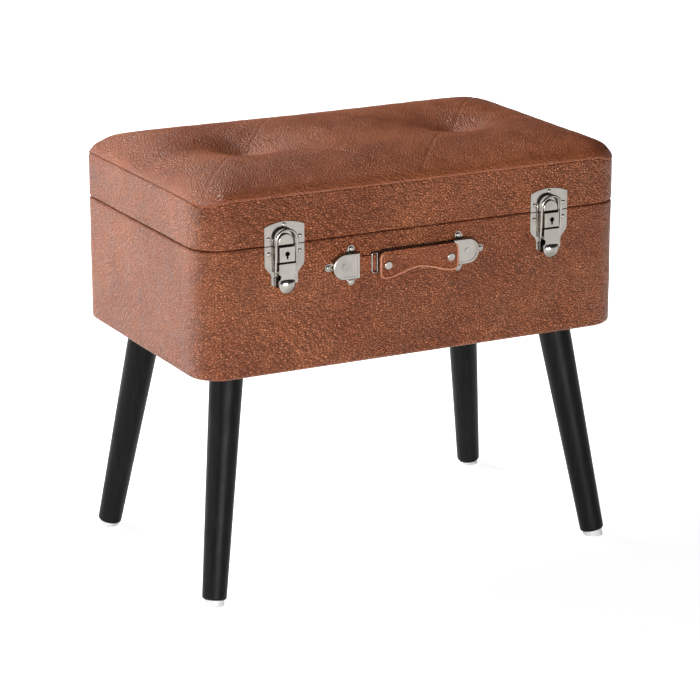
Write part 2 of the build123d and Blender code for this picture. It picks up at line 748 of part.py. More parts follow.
def strap_outline(inset):
    end = STRAP_HALF_LENGTH - inset
    top = STRAP_TOP - inset
    low = inset - STRAP_END_DROP
    middle = inset - STRAP_MIDDLE_DROP
    run = STRAP_HALF_LENGTH / 2
    wave = Spline((0, middle), (run, (low + middle) / 2), (end, low), tangents=[(1, 0), (1, 0)])
    half = [Line((0, top), (end, top)), Line((end, top), (end, low)), wave]
    face = mirrored_outline(half)
    outer = [vertex for vertex in face.vertices() if abs(abs(vertex.X) - end) < FIT]
    return fillet(outer, STRAP_CORNER - inset)


def handle_strap():
    front = STRAP_BACK + STRAP_THICKNESS
    strap = slab(strap_outline(0), STRAP_BACK, front)
    strap = fillet(strap.faces().sort_by(Axis.Z)[-1].edges(), STRAP_PIPING)
    strap -= slab(strap_outline(STRAP_EDGE), front - STRAP_PIPING, front)
    for side in sides.values():
        u = side * STRAP_FOLD_CENTRE
        half = STRAP_FOLD / 2
        low = HOOP_W - TAB_FOLD_THICKNESS / 2
        fold = span_box((u - half, -TAB_HALF_HEIGHT, low), (u + half, TAB_HALF_HEIGHT, STRAP_BACK))
        strap += fillet(fold.faces().sort_by(Axis.Z)[0].edges().filter_by(Axis.Y), half / 2)
        strap -= rod_v(HOOP_RADIUS + FIT, u, -HOOP_HALF_HEIGHT, HOOP_HALF_HEIGHT, HOOP_W)
        strap -= strap_rivet_place(side) * rod_w(RIVET_RADIUS + FIT, 0, 0, -STRAP_THICKNESS, STRAP_PIPING)
    return strap


def strap_rivet_place(side):
    return Pos(side * STRAP_RIVET_U, STRAP_RIVET_V, STRAP_BACK + STRAP_THICKNESS - STRAP_PIPING)


def strap_rivet(side):
    body = fastener(STRAP_RIVET_HEAD_RADIUS, RIVET_HEAD, RIVET_RADIUS, STRAP_THICKNESS)
    return strap_rivet_place(side) * body


def handle_hoop():
    length = HOOP_OUTER - STRAP_FOLD_CENTRE
    middle = Pos((HOOP_OUTER + STRAP_FOLD_CENTRE) / 2, 0, HOOP_W)
    path = (middle * RectangleRounded(length, 2 * HOOP_HALF_HEIGHT, HOOP_CORNER)).wire()
    ring = sweep(Plane(path @ 0, z_dir=path % 0) * Circle(HOOP_RADIUS), path=path)
    return ring + rod_v(HOOP_RADIUS, HOOP_MIDDLE, -HOOP_HALF_HEIGHT, HOOP_HALF_HEIGHT, HOOP_W)


def handle_tab():
    # Leather folded over the hoop's outer bar, with a tongue that slides in the cap
    low = HOOP_W - TAB_FOLD_THICKNESS / 2
    high = low + TAB_FOLD_THICKNESS
    fold = span_box((TAB_FOLD_INNER, -TAB_HALF_HEIGHT, low), (TAB_FOLD_OUTER, TAB_HALF_HEIGHT, high))
    fold = fillet(fold.edges().filter_by(Axis.Y), TAB_FOLD_THICKNESS / 3)
    fold -= rod_v(HOOP_RADIUS + FIT, HOOP_OUTER, -HOOP_HALF_HEIGHT, HOOP_HALF_HEIGHT, HOOP_W)
    level = low + TAB_FOLD_THICKNESS / 3
    tongue = span_box(
        (TAB_FOLD_OUTER - TONGUE_THICKNESS, -TAB_HALF_HEIGHT, level),
        (TONGUE_END, TAB_HALF_HEIGHT, level + TONGUE_THICKNESS),
    )
    tongue = fillet(tongue.faces().sort_by(Axis.X)[-1].edges().filter_by(Axis.Z), TONGUE_CORNER)
    return fold + tongue


# Hinges
barrel_w = HINGE_BARREL_RADIUS + HINGE_STANDOFF


def knuckle_spans(first):
    step = HINGE_LENGTH / HINGE_KNUCKLES
    return [(k * step - HINGE_LENGTH / 2, (k + 1) * step - HINGE_LENGTH / 2)
            for k in range(first, HINGE_KNUCKLES, 2)]


def hinge_leaf(up):
    # The lower leaf has the first, middle and last knuckles, and the upper leaf those between them
    own = knuckle_spans(1 if up > 0 else 0)
    other = knuckle_spans(0 if up > 0 else 1)
    half = HINGE_LENGTH / 2
    near, far = sorted((up * SEAM_GAP, up * HINGE_LEAF))
    leaf = span_box((-half, near, 0), (half, far, HINGE_SHEET))
    for start, end in own:
        leaf += rod_u(HINGE_BARREL_RADIUS, start, end, 0, barrel_w)
    for start, end in other:
        room = rod_u(HINGE_BARREL_RADIUS + CLEARANCE, start - FIT, end + FIT, 0, barrel_w)
        leaf -= room
    leaf -= rod_u(HINGE_PIN_RADIUS + FIT, -HINGE_LENGTH, HINGE_LENGTH, 0, barrel_w)
    for place in hinge_screw_places(up):
        leaf -= place * fastener_hole(SCREW_RADIUS, hinge_screw_bite)
    return leaf


hinge_screw_bite = HINGE_SHEET + frame_inset + SCREW_BITE


def hinge_screw_places(up):
    return [Pos(u, up * v, HINGE_SHEET) for u, v in HINGE_SCREW_PLACES]


def hinge_pin():
    return rod_u(HINGE_PIN_RADIUS, -HINGE_LENGTH / 2, HINGE_LENGTH / 2, 0, barrel_w)


def cap_screw():
    return fastener(SCREW_HEAD_RADIUS, SCREW_HEAD, SCREW_RADIUS, cap_screw_bite)


def hinge_screw():
    return fastener(SCREW_HEAD_RADIUS, SCREW_HEAD, SCREW_RADIUS, hinge_screw_bite)


# Places of what is on the front and the back
latch_places = {name: front_place(side * LATCH_X, SEAM_HEIGHT) for name, side in sides.items()}
hinge_places = {name: back_place(side * HINGE_X, SEAM_HEIGHT) for name, side in sides.items()}
handle_place = front_place(HANDLE_X, HANDLE_Z)
cap_places = {"left": handle_place * Rot(0, 0, 180), "right": handle_place}
strap_place = handle_place * Pos(STRAP_SHIFT, 0, 0)
strap_side_places = [strap_place * Rot(0, 0, 180), strap_place]


def placed(places, pieces):
    return [place * piece for place in places for piece in pieces]


def drilled(body, holes):
    for hole in holes:
        body -= hole
    return body


cap_screw_holes = [place * fastener_hole(SCREW_RADIUS, cap_screw_bite) for place in cap_screw_places()]
base_front_holes = placed(latch_places.values(), rivet_holes(base_rivet_spots()))
base_front_holes += placed(cap_places.values(), cap_screw_holes)
lid_front_holes = placed(latch_places.values(), rivet_holes(strike_rivet_spots()))
hinge_holes = {
    up: placed(
        hinge_places.values(),
        [place * fastener_hole(SCREW_RADIUS, hinge_screw_bite) for place in hinge_screw_places(up)],
    )
    for up in (-1, 1)
}
tie_holes = [place * tie_hole() for place in tuft_places()]
washer_seats = [place * rod_w(WASHER_RADIUS, 0, 0, lid_ceiling, lid_ceiling + WASHER) for place in tuft_places()]

nodes = {}

# Base
for name, board in frame_boards(frame_low, frame_high).items():
    holes = {"front": base_front_holes, "back": hinge_holes[-1]}.get(name, [])
    nodes[f"base_{name}_board"] = drilled(board, holes)
nodes["base_corner_posts"] = corner_posts(frame_low, frame_high)
nodes["base_bottom_board"] = drilled(box_block(inside_inset, frame_low, floor_level), leg_holes())
nodes["base_wadding"] = drilled(base_wadding(), base_front_holes + hinge_holes[-1])
nodes["base_cover"] = drilled(base_cover(), base_front_holes + hinge_holes[-1])
nodes["base_lining"] = base_lining()
nodes["base_dust_cover"] = drilled(box_block(HEM, BASE_BOTTOM, frame_low), leg_holes())

# Legs
leg_names = {-1: {-1: "front_left", 1: "front_right"}, 1: {-1: "back_left", 1: "back_right"}}
for sx, sy in corners:
    nodes[f"leg_{leg_names[sy][sx]}"] = leg(sx, sy)
nodes["leg_plates"] = [leg_plate(sx, sy) for sx, sy in corners]
nodes["leg_bolts"] = [leg_bolt(sx, sy) for sx, sy in corners]
nodes["leg_glides"] = [leg_glide(sx, sy) for sx, sy in corners]
leg_screw = fastener(SCREW_HEAD_RADIUS, SCREW_HEAD, SCREW_RADIUS, leg_screw_bite)
nodes["leg_plate_screws"] = [
    place * leg_screw for sx, sy in corners for place in leg_screw_places(sx, sy)
]

# Lid
for name, rail in frame_boards(rail_low, lid_ceiling).items():
    holes = {"front": lid_front_holes, "back": hinge_holes[1]}.get(name, [])
    nodes[f"lid_{name}_rail"] = drilled(rail, holes)
nodes["lid_corner_posts"] = corner_posts(rail_low, lid_ceiling)
top_board = box_block(frame_inset, lid_ceiling, TOP_SEAM)
nodes["lid_top_board"] = drilled(top_board, tie_holes + washer_seats + lid_front_holes)
nodes["lid_wadding"] = drilled(lid_wadding(), lid_front_holes + hinge_holes[1])
nodes["lid_border_cover"] = drilled(lid_border_cover(), lid_front_holes + hinge_holes[1])
nodes["lid_lining"] = lid_lining()
nodes["lid_foam_pad"] = drilled(cushion(LEATHER), tie_holes)
nodes["lid_top_panels"] = lid_top_panels()
nodes["tuft_ties"] = placed(tuft_places(), [tuft_tie()])
nodes["tuft_washers"] = placed(tuft_places(), [tuft_washer()])

# Latches
base_plate = latch_base_plate()
lock_case = latch_lock_case()
strike = latch_strike()
lever = latch_lever()
loop = latch_loop()
for name, place in latch_places.items():
    nodes[f"latch_{name}_base_plate"] = place * base_plate
    nodes[f"latch_{name}_lock_case"] = place * lock_case
    nodes[f"latch_{name}_strike"] = place * strike
    nodes[f"latch_{name}_lever"] = place * lever
    nodes[f"latch_{name}_loop"] = place * loop
nodes["latch_lever_pins"] = placed(latch_places.values(), [lever_pin()])
nodes["latch_base_rivets"] = placed(latch_places.values(), rivets(base_rivet_spots()))
nodes["latch_strike_rivets"] = placed(latch_places.values(), rivets(strike_rivet_spots()))

# Handle
cap = handle_cap()
for name, place in cap_places.items():
    nodes[f"handle_{name}_cap"] = place * cap
cap_screws = [place * cap_screw() for place in cap_screw_places()]
nodes["handle_cap_screws"] = placed(cap_places.values(), cap_screws)
nodes["handle_strap"] = strap_place * handle_strap()
nodes["handle_rivets"] = [strap_place * strap_rivet(side) for side in sides.values()]
nodes["handle_hoops"] = placed(strap_side_places, [handle_hoop()])
nodes["handle_tabs"] = placed(strap_side_places, [handle_tab()])

# Hinges
for name, place in hinge_places.items():
    nodes[f"hinge_{name}_base_leaf"] = place * hinge_leaf(-1)
    nodes[f"hinge_{name}_lid_leaf"] = place * hinge_leaf(1)
nodes["hinge_pins"] = placed(hinge_places.values(), [hinge_pin()])
for name, up in {"base": -1, "lid": 1}.items():
    screws = [place * hinge_screw() for place in hinge_screw_places(up)]
    nodes[f"hinge_{name}_screws"] = placed(hinge_places.values(), screws)

os.makedirs("parts", exist_ok=True)
for name, solids in nodes.items():
    export(name, solids)
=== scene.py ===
import itertools
import json
import math

import bmesh
import bpy
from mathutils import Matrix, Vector, noise


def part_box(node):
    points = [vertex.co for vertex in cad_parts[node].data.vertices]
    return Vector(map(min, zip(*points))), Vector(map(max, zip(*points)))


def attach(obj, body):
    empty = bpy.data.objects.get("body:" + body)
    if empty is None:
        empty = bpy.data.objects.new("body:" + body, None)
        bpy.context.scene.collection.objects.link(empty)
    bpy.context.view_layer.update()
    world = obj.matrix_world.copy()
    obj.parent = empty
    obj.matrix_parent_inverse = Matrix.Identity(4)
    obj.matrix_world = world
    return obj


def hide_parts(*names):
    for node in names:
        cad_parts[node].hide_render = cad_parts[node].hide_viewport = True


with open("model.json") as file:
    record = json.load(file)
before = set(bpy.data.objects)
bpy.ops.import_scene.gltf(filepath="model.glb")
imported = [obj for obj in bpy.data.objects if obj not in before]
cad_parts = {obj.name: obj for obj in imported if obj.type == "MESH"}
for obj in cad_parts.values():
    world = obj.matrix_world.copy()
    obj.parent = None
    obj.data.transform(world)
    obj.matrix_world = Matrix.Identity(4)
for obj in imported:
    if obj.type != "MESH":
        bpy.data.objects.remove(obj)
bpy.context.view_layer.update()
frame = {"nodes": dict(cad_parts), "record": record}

# Sizes in millimetres, as the solids have them. X runs along the front, Y to the back, Z up.
MM = 0.001
WIDTH = 500
DEPTH = 310
CORNER_RADIUS = 34
BASE_BOTTOM = 245
SEAM_HEIGHT = 381
SEAM_GAP = 1.0
TOP_SEAM = 431
SEAM_ROLL = 2.5
BOTTOM_ROLL = 4.4
LEATHER = 1.5
WALL = 16.5
HEM = 26
LINING = 1
LINING_GAP = 0.1
LINING_BACK = 0.2
LINING_SLACK = 0.15
SLACK_LENGTH = 25
LINING_CENTRE = 140
LINING_MIDWAY = 60

# Rolled top of the lid's border, outside and inside: inset and height
BORDER_TOP = [(0.25, 429.0), (0.8, 430.1), (1.7, 430.5), (3.0, 430.0)]
BORDER_BACK = [(3.0, 428.5), (LEATHER, 427.5)]

# Unevenness of the walls: mean depth, then depth and lengths of slow waves and of short creases
PUCKER_MEAN = 0.28
SLOW_DEPTH = 0.26
SLOW_LENGTH = 60
SLOW_HEIGHT = 34
SHORT_DEPTH = 0.1
SHORT_LENGTH = 13
SHORT_HEIGHT = 19
SHORT_SHIFT = 7

# Cushion: how far each level is drawn in, its height above the top seam, and the two tufts
CROWN_LEVELS = [(0, 0), (3, 5), (10, 10), (24, 15), (50, 19.5), (85, 22.5)]
CROWN_REACH = 85
CORNER_POWER = 5.57
TUFT_X = 125
TUFT_RADIUS = 90
TUFT_DEPTH = 19
TUFT_FLOOR = 6
TUFT_ROUNDING = 3
TUFT_PINCH = 1.2
EDGE_BLEND = 14
CUSHION_LIFT = 0.7
CORNER_DIP = 5
DIP_START = 395
RIM_LEVELS = [(0.7, 431.1), (1.9, 430.75), (4.5, 430.6), (5.5, 428.6)]

# Cloth simulation of the cushion: what is held, the pressure and the limit of the swelling
HOLD_EDGE = 9
HOLD_TUFT = 45
PRESSURE = 4
SWELL_FRAMES = 20
SWELL_LIMIT = 1.6

# Seams between the cushion's panels, and faint folds of its leather
GROOVE_DEPTH = 0.5
GROOVE_WIDTH = 1.2
SEAM_FADE = 6
WRINKLE_HEIGHT = 0.35
WRINKLE_LENGTH = 17
WRINKLE_LAYER = 3

# Spacing of the mesh
WALL_STEP = 4.5
CORNER_STEPS = 16
CUSHION_STEP = 5.0
LINING_STEPS = 20
STRAP_STEPS = 20
END_STEPS = 6
ARC_STEPS = 10
BLOCK_STEPS = 8

# Handle, measured from its middle on the front
HANDLE_X = -17
HANDLE_Z = 350.5
STRAP_SHIFT = 12.3
STRAP_HALF_LENGTH = 46.5
STRAP_TOP = 12
STRAP_END_DROP = 17
STRAP_MIDDLE_DROP = 9
STRAP_CORNER = 7
STRAP_BACK = 7.0
STRAP_FRONT = 11.2
PIPING_RADIUS = 1.15
PIPING_SIDES = 8
PIPING_STOP = 2
PIPING_SINK = 0.75
FOLD_CENTRE = 37.5
FOLD_WIDTH = 6.6
FOLD_ROUNDING = 1.6
TAB_INNER = 47.6
TAB_OUTER = 56
TAB_HALF_HEIGHT = 8.2
TAB_LOW = 0.4
HOOP_OUTER = 51.8
TONGUE_END = 69.3

# Runs of each tab, inside the hoop, under its outer bar and out into the cap: start, end, height, rounding
TAB_RUNS = [
    (TAB_INNER - 0.6, HOOP_OUTER - 1.1, 3.6, 1.2),
    (HOOP_OUTER - 1.6, HOOP_OUTER + 1.6, 1.6, 0.5),
    (HOOP_OUTER + 1.1, TAB_OUTER + 2, 3.2, 1.0),
    (TAB_OUTER, TONGUE_END, 2.9, 0.9),
]

# Stitches of the top seam
STITCH_LENGTH = 3.4
STITCH_PITCH = 4.6
STITCH_RADIUS = 0.38
STITCH_INSET = 1.35
STITCH_DROP = 0.15
STITCH_SIDES = 6
STITCH_SHAPE = [(-0.5, 0.3), (-0.38, 0.85), (0, 1.0), (0.38, 0.85), (0.5, 0.3)]

# Looks of the leather, in features per metre
MOTTLE = 11
PATCHES = 48
CREASES = 210
PORES = 1500
CELLS = 380
RIDGES = 62
WEAR = 13

# Floor in metres: its reach, and its glow from the object outwards
FLOOR_REACH = 12
GLOW_START = 0.5
GLOW_END = 2.0
GLOW_LOW = 0.86
GLOW_HIGH = 1.0

# Lamps: name, place, target, width and height in metres, power in watts
LAMPS = [
    ("left_softbox", (-2.4, -0.3, 0.5), (0, 0, 0.3), 1.6, 0.8, 13),
    ("front_softbox", (-0.6, -2.8, 0.2), (0, 0, 0.3), 1.6, 0.3, 60),
    ("key_softbox", (-1.6, 2.3, 2.6), (0, 0, 0.4), 1.6, 1.3, 180),
]
WORLD_COLOUR = (0.9, 0.92, 0.95, 1)
WORLD_STRENGTH = 0.06

# Camera of the photograph
CAMERA_AZIMUTH = -27.6
CAMERA_ELEVATION = 16.5
CAMERA_PLACE = (-1.4346, -2.7447, 1.1252)
CAMERA_LENS = 151.6
SENSOR = 36


# Materials
def shader_tree(name):
    made = bpy.data.materials.new(name)
    made.use_nodes = True
    tree = made.node_tree
    shader = tree.nodes["Principled BSDF"]
    place = tree.nodes.new("ShaderNodeTexCoord").outputs["Object"]
    return made, tree, shader, place


def noise_node(tree, place, scale, detail=3.0, stretch=(1, 1, 1)):
    mapping = tree.nodes.new("ShaderNodeMapping")
    mapping.inputs["Scale"].default_value = stretch
    tree.links.new(place, mapping.inputs["Vector"])
    made = tree.nodes.new("ShaderNodeTexNoise")
    made.inputs["Scale"].default_value = scale
    made.inputs["Detail"].default_value = detail
    tree.links.new(mapping.outputs["Vector"], made.inputs["Vector"])
    return made.outputs["Fac"]


def ramp(tree, value, stops):
    made = tree.nodes.new("ShaderNodeValToRGB")
    made.color_ramp.elements[0].position = stops[0][0]
    made.color_ramp.elements[0].color = stops[0][1]
    made.color_ramp.elements[1].position = stops[-1][0]
    made.color_ramp.elements[1].color = stops[-1][1]
    for position, colour in stops[1:-1]:
        made.color_ramp.elements.new(position).color = colour
    tree.links.new(value, made.inputs["Fac"])
    return made.outputs["Color"]


def math_node(tree, kind, first, second):
    made = tree.nodes.new("ShaderNodeMath")
    made.operation = kind
    for socket, value in zip(made.inputs, (first, second)):
        if isinstance(value, (int, float)):
            socket.default_value = value
        else:
            tree.links.new(value, socket)
    return made.outputs[0]


def blend_colour(tree, kind, amount, first, second):
    made = tree.nodes.new("ShaderNodeMix")
    made.data_type = "RGBA"
    made.blend_type = kind
    made.inputs["Factor"].default_value = amount
    tree.links.new(first, made.inputs["A"])
    tree.links.new(second, made.inputs["B"])
    return made.outputs["Result"]


def bump(tree, shader, height, strength, distance):
    made = tree.nodes.new("ShaderNodeBump")
    made.inputs["Strength"].default_value = strength
    made.inputs["Distance"].default_value = distance
    tree.links.new(height, made.inputs["Height"])
    tree.links.new(made.outputs["Normal"], shader.inputs["Normal"])


def roughness_range(tree, shader, value, low, high):
    made = tree.nodes.new("ShaderNodeMapRange")
    made.inputs["From Min"].default_value = 0.3
    made.inputs["From Max"].default_value = 0.7
    made.inputs["To Min"].default_value = low
    made.inputs["To Max"].default_value = high
    tree.links.new(value, made.inputs["Value"])
    tree.links.new(made.outputs["Result"], shader.inputs["Roughness"])


def grey(level):
    return (level, level, level, 1)


def leather_material(name, dark, light, grain):
    # Mottled colour, with painted shade between the cells of the grain and a painted highlight on their tops
    # The height adds the cells, ridges where the leather is worn, creases and pores
    made, tree, shader, place = shader_tree(name)
    mottle = noise_node(tree, place, MOTTLE, 5)
    patch = noise_node(tree, place, PATCHES, 4)
    crease = noise_node(tree, place, CREASES, 5, (1, 1, 1.5))
    pore = noise_node(tree, place, PORES, 2)
    bend = tree.nodes.new("ShaderNodeVectorMath")
    bend.operation = "MULTIPLY_ADD"
    tree.links.new(crease, bend.inputs[0])
    bend.inputs[1].default_value = (0.004, 0.004, 0.004)
    tree.links.new(place, bend.inputs[2])
    cells = tree.nodes.new("ShaderNodeTexVoronoi")
    cells.feature = "DISTANCE_TO_EDGE"
    cells.inputs["Scale"].default_value = CELLS
    drawn = tree.nodes.new("ShaderNodeVectorMath")
    drawn.operation = "MULTIPLY"
    drawn.inputs[1].default_value = (0.8, 0.8, 1.35)
    tree.links.new(bend.outputs["Vector"], drawn.inputs[0])
    tree.links.new(drawn.outputs["Vector"], cells.inputs["Vector"])
    pebble = ramp(tree, cells.outputs["Distance"], [(0.0, grey(0)), (0.16, grey(0.75)), (0.5, grey(1))])
    base = ramp(tree, mottle, [(0.3, dark), (0.7, light)])
    spots = ramp(tree, patch, [(0.3, grey(0.82)), (0.7, grey(1.0))])
    toned = blend_colour(tree, "MULTIPLY", 1.0, base, spots)
    # Painted shade: the colour is darkened in the valleys between the grain's cells
    painted_shade_valleys = ramp(tree, cells.outputs["Distance"], [(0.0, grey(0.33)), (0.12, grey(1.0))])
    grained = blend_colour(tree, "MULTIPLY", 0.9 * grain, toned, painted_shade_valleys)
    # Painted highlight: a pale tan screened onto the tops of the grain's cells, standing in for their sheen
    painted_highlight_tops = ramp(tree, cells.outputs["Distance"], [(0.16, grey(0)), (0.42, (0.36, 0.2, 0.12, 1))])
    coloured = blend_colour(tree, "SCREEN", 0.5 * grain, grained, painted_highlight_tops)
    tree.links.new(coloured, shader.inputs["Base Color"])
    ridges = tree.nodes.new("ShaderNodeTexWave")
    ridges.bands_direction = "DIAGONAL"
    ridges.inputs["Scale"].default_value = RIDGES
    ridges.inputs["Distortion"].default_value = 9
    ridges.inputs["Detail"].default_value = 2
    ridges.inputs["Detail Scale"].default_value = 1.2
    tree.links.new(place, ridges.inputs["Vector"])
    worn = ramp(tree, noise_node(tree, place, WEAR, 2), [(0.42, grey(0)), (0.62, grey(1))])
    folds = math_node(tree, "MULTIPLY", ridges.outputs["Fac"], worn)
    rough_skin = math_node(tree, "MULTIPLY_ADD", folds, 0.7)
    tree.links.new(pebble, rough_skin.node.inputs[2])
    high = math_node(tree, "MULTIPLY_ADD", crease, 1.1)
    tree.links.new(rough_skin, high.node.inputs[2])
    height = math_node(tree, "MULTIPLY_ADD", pore, 0.25)
    tree.links.new(high, height.node.inputs[2])
    bump(tree, shader, height, grain, 0.003)
    roughness_range(tree, shader, patch, 0.36, 0.52)
    shader.inputs["Specular IOR Level"].default_value = 0.5
    return made


def metal_material(name, colour, low, high):
    # Bright plating with faint polishing marks and handling haze
    made, tree, shader, place = shader_tree(name)
    haze = noise_node(tree, place, 70, 4)
    marks = noise_node(tree, place, 900, 3, (1, 1, 0.08))
    dull = tuple(0.82 * value for value in colour[:3]) + (1,)
    tree.links.new(ramp(tree, haze, [(0.35, dull), (0.65, colour)]), shader.inputs["Base Color"])
    shader.inputs["Metallic"].default_value = 1.0
    roughness_range(tree, shader, haze, low, high)
    bump(tree, shader, marks, 0.04, 0.0002)
    return made


def lacquer_material(name, dark, light):
    # Satin paint over timber whose grain runs down the leg
    made, tree, shader, place = shader_tree(name)
    fibre = noise_node(tree, place, 260, 4, (1, 1, 0.04))
    wear = noise_node(tree, place, 35, 3)
    tree.links.new(ramp(tree, fibre, [(0.3, dark), (0.75, light)]), shader.inputs["Base Color"])
    roughness_range(tree, shader, wear, 0.36, 0.48)
    shader.inputs["Specular IOR Level"].default_value = 0.09
    bump(tree, shader, fibre, 0.12, 0.0003)
    return made


def cloth_material(name, dark, light):
    # Plain weave from two crossed sets of threads
    made, tree, shader, place = shader_tree(name)
    threads = []
    for axis in ("X", "Z"):
        wave = tree.nodes.new("ShaderNodeTexWave")
        wave.bands_direction = axis
        wave.inputs["Scale"].default_value = 320
        wave.inputs["Distortion"].default_value = 0.6
        tree.links.new(place, wave.inputs["Vector"])
        threads.append(wave.outputs["Fac"])
    weave = math_node(tree, "MULTIPLY", threads[0], threads[1])
    fuzz = noise_node(tree, place, 60, 4)
    tone = math_node(tree, "MULTIPLY", weave, fuzz)
    tree.links.new(ramp(tree, tone, [(0.0, dark), (0.6, light)]), shader.inputs["Base Color"])
    roughness_range(tree, shader, fuzz, 0.85, 0.95)
    bump(tree, shader, weave, 0.3, 0.0004)
    return made


def plain_material(name, dark, light, low, high, scale):
    # Moulded plastic, foam or board: a fine speckle and a slight unevenness
    made, tree, shader, place = shader_tree(name)
    speckle = noise_node(tree, place, scale, 4)
    tree.links.new(ramp(tree, speckle, [(0.35, dark), (0.65, light)]), shader.inputs["Base Color"])
    roughness_range(tree, shader, speckle, low, high)
    bump(tree, shader, speckle, 0.15, 0.0004)
    return made


leather = leather_material("leather", (0.464, 0.114, 0.037, 1), (0.71, 0.218, 0.086, 1), 1.0)
# The cushion's leather is a darker copy of the walls' leather: painted shade of the top
top_leather = leather_material("top_leather", (0.3, 0.07, 0.019, 1), (0.44, 0.125, 0.041, 1), 0.45)
strap_leather = leather_material("strap_leather", (0.383, 0.09, 0.029, 1), (0.58, 0.174, 0.07, 1), 0.8)
piping_leather = leather_material("piping_leather", (0.557, 0.197, 0.104, 1), (0.81, 0.383, 0.232, 1), 0.4)
thread = plain_material("thread", (0.42, 0.18, 0.11, 1), (0.55, 0.27, 0.17, 1), 0.6, 0.75, 1200)
slots = {
    "leather": leather,
    "foam": plain_material("foam", (0.72, 0.66, 0.5, 1), (0.85, 0.8, 0.65, 1), 0.85, 0.95, 500),
    "cloth": cloth_material("cloth", (0.012, 0.011, 0.011, 1), (0.06, 0.056, 0.052, 1)),
    "leg_lacquer": lacquer_material("leg_lacquer", (0.0035, 0.0035, 0.004, 1), (0.01, 0.0095, 0.01, 1)),
    "glide": plain_material("glide", (0.72, 0.73, 0.74, 1), (0.86, 0.86, 0.86, 1), 0.35, 0.5, 300),
    "zinc": metal_material("zinc", (0.6, 0.6, 0.58, 1), 0.3, 0.45),
    "timber": plain_material("timber", (0.36, 0.22, 0.12, 1), (0.55, 0.38, 0.23, 1), 0.7, 0.85, 220),
    "nickel": metal_material("nickel", (0.36, 0.335, 0.305, 1), 0.11, 0.2),
}


# Meshes
def add_piece(name, points, faces, material, body):
    mesh = bpy.data.meshes.new(name)
    mesh.from_pydata([Vector(point) * MM for point in points], [], faces)
    mesh.validate()
    work = bmesh.new()
    work.from_mesh(mesh)
    bmesh.ops.recalc_face_normals(work, faces=work.faces)
    work.to_mesh(mesh)
    work.free()
    mesh.materials.append(material)
    mesh.shade_smooth()
    piece = bpy.data.objects.new(name, mesh)
    bpy.context.scene.collection.objects.link(piece)
    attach(piece, body)
    return piece


def arc(middle, radius, start, end, steps):
    # Points of an arc in a wall's section, angles in degrees
    points = []
    for i in range(steps + 1):
        angle = math.radians(start + (end - start) * i / steps)
        points.append((middle[0] + radius * math.cos(angle), middle[1] + radius * math.sin(angle)))
    return points


def rows(inset, low, high, step):
    count = max(1, round((high - low) / step))
    return [(inset, low + (high - low) * i / count) for i in range(1, count)]


def round_box(inset):
    # Points round the box, drawn in by inset, in the same order for every inset
    radius = max(CORNER_RADIUS - inset, 4)
    x = WIDTH / 2 - inset - radius
    y = DEPTH / 2 - inset - radius
    arcs = []
    for middle_x, middle_y, start in ((x, -y, -90), (x, y, 0), (-x, y, 90), (-x, -y, 180)):
        arcs.append(arc((middle_x, middle_y), radius, start, start + 90, CORNER_STEPS))
    counts = [round(DEPTH / WALL_STEP), round(WIDTH / WALL_STEP)] * 2
    points = []
    for i in range(4):
        points += arcs[i]
        first = arcs[i][-1]
        last = arcs[(i + 1) % 4][0]
        for j in range(1, counts[i]):
            share = j / counts[i]
            points.append((first[0] + (last[0] - first[0]) * share, first[1] + (last[1] - first[1]) * share))
    return points


def ring_faces(loop_count, loop_size, closed):
    faces = []
    for i in range(loop_count if closed else loop_count - 1):
        low = i * loop_size
        high = (i + 1) % loop_count * loop_size
        for j in range(loop_size):
            k = (j + 1) % loop_size
            faces.append((low + j, low + k, high + k, high + j))
    return faces


def wall_pucker(x, y, z):
    # How far the leather lies back from its flat face: slow waves and short creases
    slow = noise.noise(Vector((x / SLOW_LENGTH, y / SLOW_LENGTH, z / SLOW_HEIGHT)))
    short = noise.noise(Vector((x / SHORT_LENGTH, y / SHORT_LENGTH, z / SHORT_HEIGHT + SHORT_SHIFT)))
    return PUCKER_MEAN + SLOW_DEPTH * slow + SHORT_DEPTH * short


def corner_dip(x, y):
    # How far the top seam is drawn down where the cushion's cover is stretched over a corner
    corner_x = max(abs(x) - (WIDTH / 2 - CORNER_RADIUS), 0)
    corner_y = max(abs(y) - (DEPTH / 2 - CORNER_RADIUS), 0)
    reach = math.hypot(corner_x, corner_y)
    if reach == 0:
        return 0
    turn = 2 * corner_x * corner_y / reach**2
    return CORNER_DIP * turn**1.5 * min(1, reach / CORNER_RADIUS) ** 2


def cover(name, profile, wrinkled, body, replaced):
    # A closed skin from a section carried round the box; the first points of the section are its outer face
    points = []
    for i, (inset, z) in enumerate(profile):
        for x, y in round_box(inset):
            back = wall_pucker(x, y, z) if i < wrinkled and inset < SEAM_ROLL else 0
            reach = math.hypot(x, y)
            raised = max(0, z - DIP_START) / (TOP_SEAM - DIP_START)
            points.append((x - x / reach * back, y - y / reach * back, z - corner_dip(x, y) * raised))
    faces = ring_faces(len(profile), len(round_box(0)), True)
    piece = add_piece(name, points, faces, leather, body)
    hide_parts(*replaced)


base_top = SEAM_HEIGHT - SEAM_GAP / 2
lid_bottom = SEAM_HEIGHT + SEAM_GAP / 2
base_outer = [(HEM, BASE_BOTTOM), (HEM / 2, BASE_BOTTOM)]
base_outer += arc((BOTTOM_ROLL, BASE_BOTTOM + BOTTOM_ROLL), BOTTOM_ROLL, 270, 180, 6)
base_outer += rows(0, BASE_BOTTOM + BOTTOM_ROLL, base_top - SEAM_ROLL, WALL_STEP)
base_outer += arc((SEAM_ROLL, base_top - SEAM_ROLL), SEAM_ROLL, 180, 90, 5)
base_outer += [(WALL / 2, base_top), (WALL, base_top)]
base_inner = [
    (WALL, base_top - LEATHER),
    (SEAM_ROLL, base_top - LEATHER),
    (LEATHER, base_top - SEAM_ROLL),
    (LEATHER, BASE_BOTTOM + BOTTOM_ROLL),
    (BOTTOM_ROLL, BASE_BOTTOM + LEATHER),
    (HEM, BASE_BOTTOM + LEATHER),
]
base_solids = ["base_cover", "base_wadding"]
cover("base_leather", base_outer + base_inner, len(base_outer), "base", base_solids)

